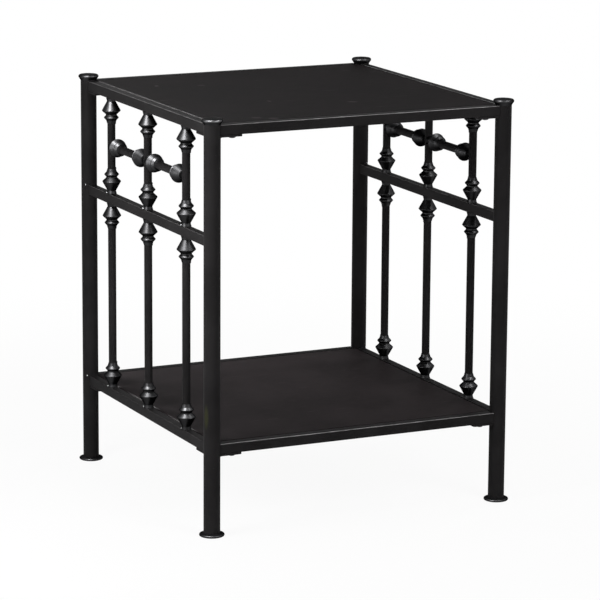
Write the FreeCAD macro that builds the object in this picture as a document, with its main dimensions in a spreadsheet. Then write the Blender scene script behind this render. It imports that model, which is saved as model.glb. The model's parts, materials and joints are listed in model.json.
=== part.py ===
import FreeCAD, Part
import math
import os
import re
import Sketcher

# A square metal nightstand: two welded side panels with cast collars on their
# spindles, and two sheet shelves bolted between them.
# X runs to the right, Y to the back and Z up, and the floor is at zero height.

# Driving sizes, in millimetres
SIZES = (
    ("overall_height", 636, "floor to the tops of the leg caps"),
    ("leg_pitch", 488, "leg centre to leg centre, across and front to back"),
    ("leg_diameter", 25.4, "outside of the round leg tube"),
    ("leg_wall", 1.5, "wall of the leg tube"),
    ("cap_diameter", 32.2, "widest part of a leg cap"),
    ("cap_height", 9, "tube end to the top of a leg cap"),
    ("cap_rim_radius", 3, "rounding of a leg cap's rim"),
    ("cap_underside_inset", 1.1, "how far the rim's rounding turns in below its widest part"),
    ("cap_underside_drop", 2.3, "how far the rim's rounding reaches down from its widest part"),
    ("foot_diameter", 38.6, "widest part of a foot disc"),
    ("foot_rim_radius", 2, "rounding of a foot disc's edge"),
    ("foot_saucer_rise", 0.9, "how far a foot's top climbs from its edge to the tube"),
    ("spigot_length", 18, "cap or foot plug inside the tube"),
    ("spigot_clearance", 0.1, "gap round the plug"),
    ("upper_shelf_drop", 9, "cap top down to the upper shelf"),
    ("lower_shelf_height", 143, "floor up to the top of the lower shelf"),
    ("upper_bay_height", 152.5, "clear height between the middle and top side rails"),
    ("rail_height", 16, "every rail, bottom to top"),
    ("side_rail_width", 13, "thickness of a side rail"),
    ("cross_rail_width", 16, "thickness of a front or back rail"),
    ("rail_wall", 1.2, "wall of every rail"),
    ("rail_corner", 1.5, "outer corner radius of every rail"),
    ("cross_rail_gap", 0.5, "gap between the end of a bolted rail and the leg"),
    ("slim_tube_diameter", 12.7, "outside of the spindle and tie tubes"),
    ("slim_tube_wall", 1.2, "wall of the spindle and tie tubes"),
    ("spindle_pitch", 148, "spindle centre to spindle centre"),
    ("collar_base_wall", 1.4, "metal round the tube at a collar's foot"),
    ("collar_neck_wall", 0.5, "metal round the tube at a collar's neck"),
    ("collar_tip_wall", 0.4, "metal round the tube at a collar's tip"),
    ("collar_ridge_diameter", 30.1, "large ridge of a collar, before its edge is rounded"),
    ("collar_groove_diameter", 17.5, "groove between the two ridges"),
    ("collar_ring_diameter", 24.2, "small ridge of a collar, before its edge is rounded"),
    ("collar_crest_radius", 1.4, "rounding of both ridges"),
    ("collar_neck_length", 4.8, "foot to the start of the cone"),
    ("collar_cone_length", 15, "neck to the large ridge"),
    ("collar_bevel_length", 5.8, "large ridge to the groove"),
    ("collar_groove_length", 1.6, "flat bottom of the groove"),
    ("collar_rise_length", 3.7, "groove to the small ridge"),
    ("collar_fall_length", 4.2, "small ridge to the tip's cone"),
    ("collar_tip_length", 4.9, "cone from the small ridge down to the tube"),
    ("collar_shoulder_wall", 1.9, "metal round the tube where the tip's cone starts"),
    ("tie_saddle_depth", 3, "how far a tie's collar reaches round the spindle"),
    ("pan_side_gap", 2.5, "slot between the shelf sheet and a side rail"),
    ("pan_thickness", 1.2, "sheet of a shelf"),
    ("pan_depth", 14, "folded edge of a shelf"),
    ("pan_bend_radius", 3, "outer bend of a shelf's edge"),
    ("pan_corner_radius", 7, "rounded corner of a shelf"),
    ("plate_thickness", 3, "corner plate under the rails"),
    ("plate_reach", 46, "leg centre to the far ends of a corner plate"),
    ("plate_corner_radius", 3, "rounded outer corners of a corner plate"),
    ("bolt_offset", 32, "leg centre to the bolt in a corner plate"),
    ("bolt_diameter", 6, "shank of a shelf bolt"),
    ("bolt_clearance", 0.2, "room round the shank in the plate and the insert"),
    ("bolt_head_diameter", 11.6, "domed head of a shelf bolt"),
    ("bolt_head_height", 3, "domed head of a shelf bolt"),
    ("bolt_grip", 10, "shank above the corner plate"),
    ("insert_diameter", 9, "threaded insert pressed into a cross rail"),
    ("insert_length", 12, "threaded insert pressed into a cross rail"),
)

# Places and lengths that follow from the driving sizes
PLACES = (
    ("leg_offset", "leg_pitch / 2"),
    ("leg_radius", "leg_diameter / 2"),
    ("leg_bore_radius", "leg_radius - leg_wall"),
    ("cap_radius", "cap_diameter / 2"),
    ("foot_radius", "foot_diameter / 2"),
    ("foot_seat", "2 * foot_rim_radius + foot_saucer_rise"),
    ("tube_top", "overall_height - cap_height"),
    ("spigot_radius", "leg_bore_radius - spigot_clearance"),
    ("upper_shelf_top", "overall_height - upper_shelf_drop"),
    ("top_rail_base", "upper_shelf_top - rail_height"),
    ("middle_rail_top", "top_rail_base - upper_bay_height"),
    ("middle_rail_base", "middle_rail_top - rail_height"),
    ("bottom_rail_base", "lower_shelf_height - rail_height"),
    ("tie_height", "middle_rail_top + upper_bay_height / 2"),
    ("slim_radius", "slim_tube_diameter / 2"),
    ("cope_radius", "leg_radius + cross_rail_gap"),
    ("ridge_height", "collar_neck_length + collar_cone_length"),
    ("groove_start", "ridge_height + collar_bevel_length"),
    ("groove_end", "groove_start + collar_groove_length"),
    ("ring_height", "groove_end + collar_rise_length"),
    ("shoulder_height", "ring_height + collar_fall_length"),
    ("collar_height", "shoulder_height + collar_tip_length"),
    ("pan_half_width", "leg_offset - side_rail_width / 2 - pan_side_gap"),
    ("pan_half_length", "leg_offset - cross_rail_width / 2"),
    ("bolt_place", "leg_offset - bolt_offset"),
)

doc = FreeCAD.newDocument("Nightstand")
sheet = doc.addObject("Spreadsheet::Sheet", "Sizes")
for row, (alias, millimetres, meaning) in enumerate(SIZES, start=1):
    sheet.set(f"A{row}", meaning)
    sheet.set(f"B{row}", str(millimetres))
    sheet.setAlias(f"B{row}", alias)
places = doc.addObject("App::VarSet", "Places")
owners = {alias: "Sizes" for alias, _, _ in SIZES}


def bound(text):
    """The same expression with each size and place named where it is kept."""
    return re.sub(r"[a-z]\w+", lambda word: f"{owners[word.group()]}.{word.group()}", text)


for alias, rule in PLACES:
    places.addProperty("App::PropertyFloat", alias, "Places")
    places.setExpression(alias, bound(rule))
    owners[alias] = "Places"
doc.recompute()


def number(text):
    """The present value of an expression in sizes and places."""
    return float(sheet.evalExpression(bound(text)))


subparts = []
TOLERANCE = 1e-6


def new_body(label, across="0", along="0", up="0"):
    """A sub-part, put in its place by three expressions."""
    body = doc.addObject("PartDesign::Body", label)
    body.Label = label
    for axis, rule in (("x", across), ("y", along), ("z", up)):
        body.setExpression(f"Placement.Base.{axis}", bound(rule))
    subparts.append(body)
    return body


def origin_part(body, role):
    """One of the body's own origin planes or axes."""
    return next(part for part in body.Origin.OriginFeatures if part.Role == role)


def new_sketch(body, plane):
    sketch = body.newObject("Sketcher::SketchObject", f"{body.Name}_sketch")
    sketch.AttachmentSupport = (origin_part(body, plane), [""])
    sketch.MapMode = "FlatFace"
    return sketch


def fix(sketch, kind, *where, rule):
    """A measured constraint driven by an expression."""
    index = sketch.addConstraint(Sketcher.Constraint(kind, *where, number(rule)))
    sketch.setExpression(f"Constraints[{index}]", bound(rule))


def pin(sketch, edge, end, across, up):
    """Hold one end of an edge, or a circle's centre, at two expressions."""
    fix(sketch, "DistanceX", -1, 1, edge, end, rule=across)
    fix(sketch, "DistanceY", -1, 1, edge, end, rule=up)


def draw_circle(sketch, across, up, radius):
    centre = FreeCAD.Vector(number(across), number(up))
    circle = Part.Circle(centre, FreeCAD.Vector(0, 0, 1), number(radius))
    edge = sketch.addGeometry(circle, False)
    pin(sketch, edge, 3, across, up)
    fix(sketch, "Radius", edge, rule=radius)


def arc_between(start, end, radius, leftwards):
    """The short arc from start to end that turns left, or right."""
    chord = end - start
    rise = math.sqrt(radius ** 2 - (chord.Length / 2) ** 2)
    square = FreeCAD.Vector(-chord.y, chord.x).normalize()
    centre = (start + end) / 2 + square * (rise if leftwards else -rise)
    angles = [math.atan2(point.y - centre.y, point.x - centre.x) for point in (start, end)]
    if not leftwards:
        angles.reverse()
    return Part.ArcOfCircle(Part.Circle(centre, FreeCAD.Vector(0, 0, 1), radius), *angles)


def draw_outline(sketch, corners):
    """A closed outline. Each corner is (across, up), or (across, up, radius, turn) where
    an arc that turns left or right leads to the next corner."""
    points = [FreeCAD.Vector(number(corner[0]), number(corner[1])) for corner in corners]
    edges = []
    for index, corner in enumerate(corners):
        start, end = points[index], points[(index + 1) % len(points)]
        leftwards = corner[3] == "left" if len(corner) > 2 else True
        if len(corner) > 2:
            curve = arc_between(start, end, number(corner[2]), leftwards)
        else:
            curve = Part.LineSegment(start, end)
        edge = sketch.addGeometry(curve, False)
        edges.append((edge, 1, 2) if leftwards else (edge, 2, 1))
    for index, corner in enumerate(corners):
        edge, first, last = edges[index]
        following, next_first, _ = edges[(index + 1) % len(edges)]
        sketch.addConstraint(Sketcher.Constraint("Coincident", edge, last, following, next_first))
        pin(sketch, edge, first, corner[0], corner[1])
        if len(corner) > 2:
            fix(sketch, "Radius", edge, rule=corner[2])


def rounded_rectangle(half_width, half_height, radius):
    """Corners of a rectangle about the origin, with rounded corners."""
    inner_width, inner_height = f"{half_width} - ({radius})", f"{half_height} - ({radius})"
    return (
        (half_width, f"-({inner_height})"),
        (half_width, inner_height, radius, "left"),
        (inner_width, half_height),
        (f"-({inner_width})", half_height, radius, "left"),
        (f"-({half_width})", inner_height),
        (f"-({half_width})", f"-({inner_height})", radius, "left"),
        (f"-({inner_width})", f"-({half_height})"),
        (inner_width, f"-({half_height})", radius, "left"),
    )


def pad(body, sketch, length, symmetric=False):
    feature = body.newObject("PartDesign::Pad", f"{body.Name}_pad")
    feature.Profile = sketch
    feature.setExpression("Length", bound(length))
    feature.SideType = "Symmetric" if symmetric else "One side"
    return feature


def cut_through(body, sketch, symmetric=True):
    """Cut a sketch right through the body, both ways or only against the sketch's face."""
    feature = body.newObject("PartDesign::Pocket", f"{body.Name}_cut")
    feature.Profile = sketch
    feature.Type = "ThroughAll"
    feature.SideType = "Symmetric" if symmetric else "One side"


def turn(body, corners):
    """Revolve an outline of radius and height about the body's own Z axis."""
    sketch = new_sketch(body, "XZ_Plane")
    draw_outline(sketch, corners)
    feature = body.newObject("PartDesign::Revolution", f"{body.Name}_turned")
    feature.Profile = sketch
    feature.ReferenceAxis = (sketch, ["V_Axis"])
    return feature


def round_edges(body, feature, chosen, rounding):
    """Fillet the edges of a feature that the chosen test picks out."""
    doc.recompute()
    fillet = body.newObject("PartDesign::Fillet", f"{body.Name}_rounding")
    edges = enumerate(feature.Shape.Edges, start=1)
    fillet.Base = (feature, [f"Edge{index}" for index, edge in edges if chosen(edge)])
    fillet.setExpression("Radius", bound(rounding))
    return fillet


def repeat(body, *runs):
    """Copy the whole body along one or two of its axes; each run is (axis, length, count)."""
    doc.recompute()
    pattern = body.newObject("PartDesign::LinearPattern", f"{body.Name}_row")
    pattern.TransformMode = "Whole shape"
    for suffix, (axis, length, count) in zip(("", "2"), runs):
        setattr(pattern, f"Direction{suffix}", (origin_part(body, axis), [""]))
        pattern.setExpression(f"Length{suffix}", bound(length))
        setattr(pattern, f"Occurrences{suffix}", count)
    body.Tip = pattern


def mirror(body, plane):
    """Mirror the whole body and keep both halves."""
    doc.recompute()
    copy = body.newObject("PartDesign::Mirrored", f"{body.Name}_mirrored")
    copy.TransformMode = "Whole shape"
    copy.MirrorPlane = (origin_part(body, plane), [""])
    body.Tip = copy


def tip_over(body, degrees):
    """Turn the body about its own X axis."""
    body.Placement.Rotation = FreeCAD.Rotation(FreeCAD.Vector(1, 0, 0), degrees)


def make_tube(body, plane, radius, wall, length, symmetric=False):
    sketch = new_sketch(body, plane)
    draw_circle(sketch, "0", "0", radius)
    draw_circle(sketch, "0", "0", f"{radius} - {wall}")
    pad(body, sketch, length, symmetric)


SIDES = (("left", "-"), ("right", ""))
ENDS = (("back", ""), ("front", "-"))
LEVELS = (("top", "top_rail_base"), ("middle", "middle_rail_base"), ("bottom", "bottom_rail_base"))
SHELVES = (("upper", "upper_shelf_top"), ("lower", "lower_shelf_height"))
BAYS = (
    ("upper", "middle_rail_top", "top_rail_base"),
    ("lower", "lower_shelf_height", "middle_rail_base"),
)
ROWS = (("back", "spindle_pitch"), ("middle", "0"), ("front", "-spindle_pitch"))

# Legs: round tubes that stand on the feet and carry the caps
for side, across in SIDES:
    for end, along in ENDS:
        leg = new_body(f"leg_{end}_{side}", f"{across}leg_offset", f"{along}leg_offset", "foot_seat")
        make_tube(leg, "XY_Plane", "leg_radius", "leg_wall", "tube_top - foot_seat")

# Leg caps: a plug, and a cone that opens into a rounded rim
for side, across in SIDES:
    for end, along in ENDS:
        cap = new_body(f"leg_cap_{end}_{side}", f"{across}leg_offset", f"{along}leg_offset", "tube_top")
        turn(cap, (
            ("0", "-spigot_length"),
            ("spigot_radius", "-spigot_length"),
            ("spigot_radius", "0"),
            ("leg_radius", "0"),
            ("cap_radius - cap_underside_inset", "cap_height - cap_rim_radius - cap_underside_drop",
             "cap_rim_radius", "left"),
            ("cap_radius", "cap_height - cap_rim_radius", "cap_rim_radius", "left"),
            ("cap_radius - cap_rim_radius", "cap_height"),
            ("0", "cap_height"),
        ))

# Feet: a plug and a disc with a rounded edge and a slightly raised middle
for side, across in SIDES:
    for end, along in ENDS:
        foot = new_body(f"foot_{end}_{side}", f"{across}leg_offset", f"{along}leg_offset")
        turn(foot, (
            ("0", "0"),
            ("foot_radius - foot_rim_radius", "0", "foot_rim_radius", "left"),
            ("foot_radius", "foot_rim_radius", "foot_rim_radius", "left"),
            ("foot_radius - foot_rim_radius", "2 * foot_rim_radius"),
            ("leg_radius", "foot_seat"),
            ("spigot_radius", "foot_seat"),
            ("spigot_radius", "foot_seat + spigot_length"),
            ("0", "foot_seat + spigot_length"),
        ))


def make_rail(body, plane, half_width, cope):
    """A box tube between two legs, with both ends coped round them."""
    section = new_sketch(body, plane)
    draw_outline(section, rounded_rectangle(half_width, "rail_height / 2", "rail_corner"))
    draw_outline(section, rounded_rectangle(
        f"{half_width} - rail_wall", "rail_height / 2 - rail_wall", "rail_corner / 2"))
    pad(body, section, "leg_pitch", symmetric=True)
    ends = new_sketch(body, "XY_Plane")
    for sign in ("-", ""):
        place = ("0", f"{sign}leg_offset") if plane == "XZ_Plane" else (f"{sign}leg_offset", "0")
        draw_circle(ends, *place, cope)
    cut_through(body, ends)


# Side rails: welded to the legs
for side, across in SIDES:
    for level, base in LEVELS:
        rail = new_body(f"rail_{side}_{level}", f"{across}leg_offset", "0", f"{base} + rail_height / 2")
        make_rail(rail, "XZ_Plane", "side_rail_width / 2", "leg_radius")

# Front and back rails: part of the shelves, with a hole below for each threaded insert
for shelf, top in SHELVES:
    for end, along in ENDS:
        rail = new_body(f"rail_{end}_{shelf}", "0", f"{along}leg_offset", f"{top} - rail_height / 2")
        make_rail(rail, "YZ_Plane", "cross_rail_width / 2", "cope_radius")
        holes = new_sketch(rail, "XY_Plane")
        for sign in ("-", ""):
            draw_circle(holes, f"{sign}bolt_place", "0", "insert_diameter / 2")
        cut_through(rail, holes, symmetric=False)

# Shelf sheets: folded down on all four sides, flush with the rails
for shelf, top in SHELVES:
    pan = new_body(f"shelf_sheet_{shelf}", "0", "0", f"{top} - pan_depth")
    plan = new_sketch(pan, "XY_Plane")
    draw_outline(plan, rounded_rectangle("pan_half_width", "pan_half_length", "pan_corner_radius"))
    block = pad(pan, plan, "pan_depth")
    bend = round_edges(
        pan, block,
        lambda edge: edge.BoundBox.ZMin > number("pan_depth") - TOLERANCE,
        "pan_bend_radius")
    doc.recompute()
    underside = next(
        f"Face{index}" for index, face in enumerate(bend.Shape.Faces, start=1)
        if face.BoundBox.ZMax < TOLERANCE)
    hollow = pan.newObject("PartDesign::Thickness", f"{pan.Name}_hollow")
    hollow.Base = (bend, [underside])
    hollow.setExpression("Value", bound("pan_thickness"))
    hollow.Reversed = True

# Spindles: slim tubes between the side rails
for side, across in SIDES:
    for bay, floor, ceiling in BAYS:
        for row, along in ROWS:
            spindle = new_body(f"spindle_{side}_{bay}_{row}", f"{across}leg_offset", along, floor)
            make_tube(spindle, "XY_Plane", "slim_radius", "slim_tube_wall", f"{ceiling} - {floor}")


def make_collar(body, seat, foot):
    """A casting turned about its tube, from its foot to its tip, with both ridges rounded.
    Its lengths start from the seat, and the foot may lie lower."""
    steps = (
        ("slim_radius + collar_neck_wall", "collar_neck_length"),
        ("collar_ridge_diameter / 2", "ridge_height"),
        ("collar_groove_diameter / 2", "groove_start"),
        ("collar_groove_diameter / 2", "groove_end"),
        ("collar_ring_diameter / 2", "ring_height"),
        ("slim_radius + collar_shoulder_wall", "shoulder_height"),
        ("slim_radius + collar_tip_wall", "collar_height"),
        ("slim_radius", "collar_height"),
    )
    corners = [("slim_radius", foot), ("slim_radius + collar_base_wall", foot)]
    corners += [(radius, f"{seat} + {height}") for radius, height in steps]
    casting = turn(body, corners)
    crests = [number("collar_ridge_diameter / 2"), number("collar_ring_diameter / 2")]
    round_edges(
        body, casting,
        lambda edge: any(isinstance(edge.Curve, Part.Circle)
                         and abs(edge.Curve.Radius - crest) < TOLERANCE for crest in crests),
        "collar_crest_radius")


# Spindle collars: castings at both ends of every spindle, three to a row
for side, across in SIDES:
    for bay, floor, ceiling in BAYS:
        for place, level, first in (("foot", floor, "-"), ("head", ceiling, "")):
            collars = new_body(
                f"collars_{side}_{bay}_{place}", f"{across}leg_offset", f"{first}spindle_pitch", level)
            make_collar(collars, "0", "0")
            repeat(collars, ("Y_Axis", "2 * spindle_pitch", len(ROWS)))
            if place == "head":
                tip_over(collars, 180)

# Ties: slim tubes between neighbouring spindles, coped round them, with a collar at each end
for side, across in SIDES:
    for end, along in ENDS:
        place = (f"{across}leg_offset", f"{along}spindle_pitch / 2", "tie_height")
        tie = new_body(f"tie_{side}_{end}", *place)
        make_tube(tie, "XY_Plane", "slim_radius", "slim_tube_wall", "spindle_pitch", symmetric=True)
        collars = new_body(f"tie_collars_{side}_{end}", *place)
        make_collar(collars, "slim_radius - spindle_pitch / 2",
                    "slim_radius - spindle_pitch / 2 - tie_saddle_depth")
        mirror(collars, "XY_Plane")
        for piece in (tie, collars):
            saddles = new_sketch(piece, "XZ_Plane")
            for sign in ("-", ""):
                draw_circle(saddles, "0", f"{sign}spindle_pitch / 2", "slim_radius")
            cut_through(piece, saddles)
            tip_over(piece, 90)

# Corner plates: welded to the legs, under the rails that rest on them
for level, base in (("upper", "top_rail_base"), ("lower", "bottom_rail_base")):
    plates = new_body(f"corner_plates_{level}", "0", "0", f"{base} - plate_thickness")
    plan = new_sketch(plates, "XY_Plane")
    outer_side, outer_end = "leg_offset + side_rail_width / 2", "leg_offset + cross_rail_width / 2"
    inner_side, inner_end = "leg_offset - side_rail_width / 2", "leg_offset - cross_rail_width / 2"
    reach = "leg_offset - plate_reach"
    draw_outline(plan, (
        (reach, inner_end),
        (inner_side, reach),
        (f"{outer_side} - plate_corner_radius", reach, "plate_corner_radius", "left"),
        (outer_side, f"{reach} + plate_corner_radius"),
        (outer_side, outer_end),
        (f"{reach} + plate_corner_radius", outer_end, "plate_corner_radius", "left"),
        (reach, f"{outer_end} - plate_corner_radius"),
    ))
    pad(plates, plan, "plate_thickness")
    openings = new_sketch(plates, "XY_Plane")
    draw_circle(openings, "leg_offset", "leg_offset", "leg_radius")
    draw_circle(openings, "bolt_place", "leg_offset", "bolt_diameter / 2 + bolt_clearance")
    cut_through(plates, openings)
    mirror(plates, "XZ_Plane")
    mirror(plates, "YZ_Plane")

# Threaded inserts and domed bolts: four of each to a shelf
BOLT_RUNS = (("X_Axis", "2 * bolt_place", 2), ("Y_Axis", "leg_pitch", 2))
for level, base in (("upper", "top_rail_base"), ("lower", "bottom_rail_base")):
    place = ("-bolt_place", "-leg_offset", base)
    inserts = new_body(f"threaded_inserts_{level}", *place)
    insert_wall = "insert_diameter / 2 - bolt_diameter / 2 - bolt_clearance"
    make_tube(inserts, "XY_Plane", "insert_diameter / 2", f"({insert_wall})", "insert_length")
    repeat(inserts, *BOLT_RUNS)
    bolts = new_body(f"shelf_bolts_{level}", *place)
    head_radius = "bolt_head_diameter / 2"
    dome_radius = "(bolt_head_diameter ^ 2 / 4 + bolt_head_height ^ 2) / (2 * bolt_head_height)"
    turn(bolts, (
        ("0", "-plate_thickness - bolt_head_height", dome_radius, "left"),
        (head_radius, "-plate_thickness"),
        ("bolt_diameter / 2", "-plate_thickness"),
        ("bolt_diameter / 2", "bolt_grip"),
        ("0", "bolt_grip"),
    ))
    repeat(bolts, *BOLT_RUNS)

# Export
doc.recompute()
failed = [item.Name for item in doc.Objects if {"Invalid", "Error"} & set(item.State)]
failed += [body.Label for body in subparts if body.Shape.isNull() or not body.Shape.isValid()]
if failed:
    raise RuntimeError(f"These objects failed: {failed}")
os.makedirs("parts", exist_ok=True)
for body in subparts:
    body.Shape.exportStep(f"parts/{body.Label}.step")
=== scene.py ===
import json
import math
from contextlib import contextmanager

import bmesh
import bpy
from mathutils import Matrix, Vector


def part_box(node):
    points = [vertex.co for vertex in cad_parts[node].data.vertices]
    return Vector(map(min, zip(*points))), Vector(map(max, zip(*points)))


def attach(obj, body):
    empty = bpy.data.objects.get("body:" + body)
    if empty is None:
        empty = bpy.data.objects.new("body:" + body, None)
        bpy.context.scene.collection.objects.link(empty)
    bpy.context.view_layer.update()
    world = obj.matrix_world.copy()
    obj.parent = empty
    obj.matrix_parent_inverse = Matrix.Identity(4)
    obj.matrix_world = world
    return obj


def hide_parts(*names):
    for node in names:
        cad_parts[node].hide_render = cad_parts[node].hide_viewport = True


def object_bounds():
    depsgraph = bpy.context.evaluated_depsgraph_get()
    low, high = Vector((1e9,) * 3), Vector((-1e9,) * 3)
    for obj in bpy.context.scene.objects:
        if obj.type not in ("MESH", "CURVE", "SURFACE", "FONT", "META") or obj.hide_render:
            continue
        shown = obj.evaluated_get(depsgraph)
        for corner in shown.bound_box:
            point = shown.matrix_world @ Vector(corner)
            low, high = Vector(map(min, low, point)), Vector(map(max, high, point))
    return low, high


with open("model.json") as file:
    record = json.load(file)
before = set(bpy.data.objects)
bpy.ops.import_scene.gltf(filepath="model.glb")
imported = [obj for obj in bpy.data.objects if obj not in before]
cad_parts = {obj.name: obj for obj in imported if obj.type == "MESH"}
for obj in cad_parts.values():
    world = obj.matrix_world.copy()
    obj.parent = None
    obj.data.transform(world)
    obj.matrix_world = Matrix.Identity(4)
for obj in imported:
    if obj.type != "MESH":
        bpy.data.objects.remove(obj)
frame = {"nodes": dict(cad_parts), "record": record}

bl_info = {
    "name": "Spindle Nightstand",
    "version": (1, 0, 0),
    "blender": (4, 5, 0),
    "location": "3D View > Sidebar > Nightstand",
    "description": "Paint, weld beads, bolts and studio of a metal nightstand with spindle sides",
    "category": "Object",
}

SIDES = {"left": -1, "right": 1}
ENDS = {"back": 1, "front": -1}
LEVELS = ("top", "middle", "bottom")
BAYS = ("upper", "lower")
ROWS = ("back", "middle", "front")
SHELVES = ("upper", "lower")
BODY = "root"
CAD_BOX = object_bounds()

MILLIMETRE = 0.001
QUARTER_TURN = math.pi / 2


def centre(node):
    low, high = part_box(node)
    return (low + high) / 2


def extent(node):
    low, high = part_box(node)
    return high - low


LEG_RADIUS = extent("leg_front_left").x / 2
SPINDLE_RADIUS = extent("spindle_left_upper_middle").x / 2
RAIL_WIDTH = extent("rail_left_middle").x
RAIL_HEIGHT = extent("rail_left_middle").z
LEG_SPREAD = centre("leg_back_right").x
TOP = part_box("shelf_sheet_upper")[1].z


# Settings

class FinishSettings(bpy.types.PropertyGroup):
    """Colours and gloss of the paints and of the bare steel."""

    frame_colour: bpy.props.FloatVectorProperty(
        name="Frame", description="Satin black coat on the legs, rails, spindles and ties",
        subtype="COLOR", size=3, min=0, max=1, default=(0.0170, 0.0161, 0.0165))
    frame_roughness: bpy.props.FloatProperty(
        name="Frame roughness", description="Roughness of the coat on the tubes",
        subtype="FACTOR", min=0, max=1, default=0.5)
    frame_shine: bpy.props.FloatProperty(
        name="Frame shine", description="Specular level of the coat on the tubes",
        subtype="FACTOR", min=0, max=1, default=0.016)
    sheet_colour: bpy.props.FloatVectorProperty(
        name="Shelves", description="Satin black coat on the shelf sheets",
        subtype="COLOR", size=3, min=0, max=1, default=(0.0122, 0.0102, 0.0107))
    sheet_roughness: bpy.props.FloatProperty(
        name="Shelf roughness", description="Roughness of the coat on the sheets",
        subtype="FACTOR", min=0, max=1, default=0.6)
    sheet_shine: bpy.props.FloatProperty(
        name="Shelf shine", description="Specular level of the coat on the sheets",
        subtype="FACTOR", min=0, max=1, default=0.008)
    casting_colour: bpy.props.FloatVectorProperty(
        name="Castings", description="Metallic black coat on the collars, caps and feet",
        subtype="COLOR", size=3, min=0, max=1, default=(0.03, 0.03, 0.031))
    casting_rim: bpy.props.FloatVectorProperty(
        name="Casting rim", description="Tint of the metallic coat where it is seen edge on",
        subtype="COLOR", size=3, min=0, max=1, default=(0.1, 0.1, 0.1))
    casting_roughness: bpy.props.FloatProperty(
        name="Casting roughness", description="Roughness of the coat on the castings",
        subtype="FACTOR", min=0, max=1, default=0.39)
    # Clear coat on the upper edges, whose colour carries a painted highlight
    edge_coat: bpy.props.FloatProperty(
        name="Highlit edges", description="Gloss of the paint where upper edges are rubbed",
        subtype="FACTOR", min=0, max=1, default=0.7)
    zinc_colour: bpy.props.FloatVectorProperty(
        name="Zinc", description="Zinc plate on the threaded inserts",
        subtype="COLOR", size=3, min=0, max=1, default=(0.62, 0.63, 0.65))
    bolt_colour: bpy.props.FloatVectorProperty(
        name="Bolts", description="Black oxide on the bolts",
        subtype="COLOR", size=3, min=0, max=1, default=(0.02, 0.02, 0.022))


class WeldSettings(bpy.types.PropertyGroup):
    """Sizes of the weld beads and tacks."""

    bead_radius: bpy.props.FloatProperty(
        name="Bead", description="Radius of a weld bead", unit="LENGTH",
        min=0.2 * MILLIMETRE, max=3 * MILLIMETRE, default=1.1 * MILLIMETRE)
    ripple_length: bpy.props.FloatProperty(
        name="Ripple", description="Distance from one ripple of a bead to the next", unit="LENGTH",
        min=0.5 * MILLIMETRE, max=5 * MILLIMETRE, default=1.8 * MILLIMETRE)
    ripple_height: bpy.props.FloatProperty(
        name="Ripple height", description="How far the ripples swell, as a share of the bead",
        subtype="FACTOR", min=0, max=0.5, default=0.14)
    ground_share: bpy.props.FloatProperty(
        name="Ground side", description="What grinding leaves of a bead on a rail's sides",
        subtype="FACTOR", min=0.1, max=1, default=0.45)
    ring_share: bpy.props.FloatProperty(
        name="Ring", description="Radius of the bead at a collar's foot, as a share of a full bead",
        subtype="FACTOR", min=0.1, max=1, default=0.3)
    spatter_radius: bpy.props.FloatProperty(
        name="Spatter", description="Radius of the bare spots left beside the welds", unit="LENGTH",
        min=0.2 * MILLIMETRE, max=3 * MILLIMETRE, default=0.85 * MILLIMETRE)
    rail_corner: bpy.props.FloatProperty(
        name="Rail corner", description="Corner radius of the side rails", unit="LENGTH",
        min=0.2 * MILLIMETRE, max=5 * MILLIMETRE, default=1.5 * MILLIMETRE)
    collar_foot_wall: bpy.props.FloatProperty(
        name="Collar foot", description="Metal round the spindle at a collar's foot", unit="LENGTH",
        min=0.2 * MILLIMETRE, max=5 * MILLIMETRE, default=1.4 * MILLIMETRE)
    tack_radius: bpy.props.FloatProperty(
        name="Tack", description="Half the length of a tack weld", unit="LENGTH",
        min=0.5 * MILLIMETRE, max=5 * MILLIMETRE, default=2.1 * MILLIMETRE)


class BoltSettings(bpy.types.PropertyGroup):
    """Sizes of the button-head bolts."""

    head_radius: bpy.props.FloatProperty(
        name="Head", description="Radius of a bolt's head", unit="LENGTH",
        min=2 * MILLIMETRE, max=12 * MILLIMETRE, default=5.8 * MILLIMETRE)
    head_height: bpy.props.FloatProperty(
        name="Head height", description="Height of a bolt's head", unit="LENGTH",
        min=1 * MILLIMETRE, max=8 * MILLIMETRE, default=3 * MILLIMETRE)
    shank_radius: bpy.props.FloatProperty(
        name="Shank", description="Radius of a bolt's shank", unit="LENGTH",
        min=1 * MILLIMETRE, max=6 * MILLIMETRE, default=3 * MILLIMETRE)
    socket_width: bpy.props.FloatProperty(
        name="Socket", description="Width of the hexagon socket across its flats", unit="LENGTH",
        min=1 * MILLIMETRE, max=6 * MILLIMETRE, default=4 * MILLIMETRE)
    socket_depth: bpy.props.FloatProperty(
        name="Socket depth", description="Depth of the hexagon socket", unit="LENGTH",
        min=0.5 * MILLIMETRE, max=4 * MILLIMETRE, default=2 * MILLIMETRE)


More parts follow.
